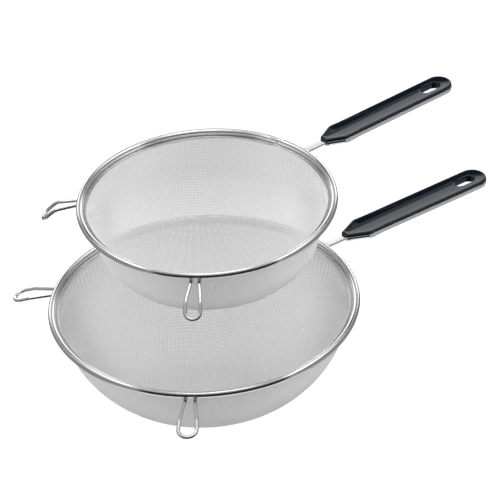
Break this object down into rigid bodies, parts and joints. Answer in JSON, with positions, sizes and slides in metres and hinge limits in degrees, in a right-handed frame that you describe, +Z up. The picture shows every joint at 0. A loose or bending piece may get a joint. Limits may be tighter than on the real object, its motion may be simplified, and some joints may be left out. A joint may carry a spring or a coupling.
{
  "type": "handled strainer set",
  "caption": "Small round handled strainer standing over a larger one, each with a wire-cloth bowl, rolled steel rim, wire rest loops and a steel-backed plastic grip.",
  "frame": {"origin": "centre of the flat spot under the large bowl, on which the set stands", "axes": "+X along both handles, away from the bowls; +Z up, out of the bowls' mouths"},
  "size_m": [0.4038, 0.249, 0.1776],
  "materials": {
    "rim_steel": "polished stainless steel strip",
    "core_wire": "plain steel wire",
    "wire_cloth": "bright woven stainless wire cloth",
    "loop_wire": "polished stainless wire",
    "weld": "cleaned weld bead",
    "handle_steel": "polished stainless steel",
    "grip_plastic": "glossy dark navy moulding"
  },
  "bodies": {
    "large_sieve": {"large_rim_band": "rim_steel", "large_rim_core_wire": "core_wire", "large_mesh_bowl": "wire_cloth", "large_rest_loop_left": "loop_wire", "large_rest_loop_right": "loop_wire", "large_loop_welds_left": "weld", "large_loop_welds_right": "weld", "large_handle_tang": "handle_steel", "large_tang_welds": "weld", "large_handle_shell": "handle_steel", "large_handle_insert": "grip_plastic"},
    "small_sieve": {"small_rim_band": "rim_steel", "small_rim_core_wire": "core_wire", "small_mesh_bowl": "wire_cloth", "small_rest_loop_left": "loop_wire", "small_rest_loop_right": "loop_wire", "small_loop_welds_left": "weld", "small_loop_welds_right": "weld", "small_handle_tang": "handle_steel", "small_tang_welds": "weld", "small_handle_shell": "handle_steel", "small_handle_insert": "grip_plastic"}
  },
  "joints": [
    {"name": "small_sieve_lift", "type": "slide", "parent": "large_sieve", "child": "small_sieve", "axis": [0.0758, -0.0551, 0.9956], "range_m": [-0.0798, 0.06]}
  ]
}
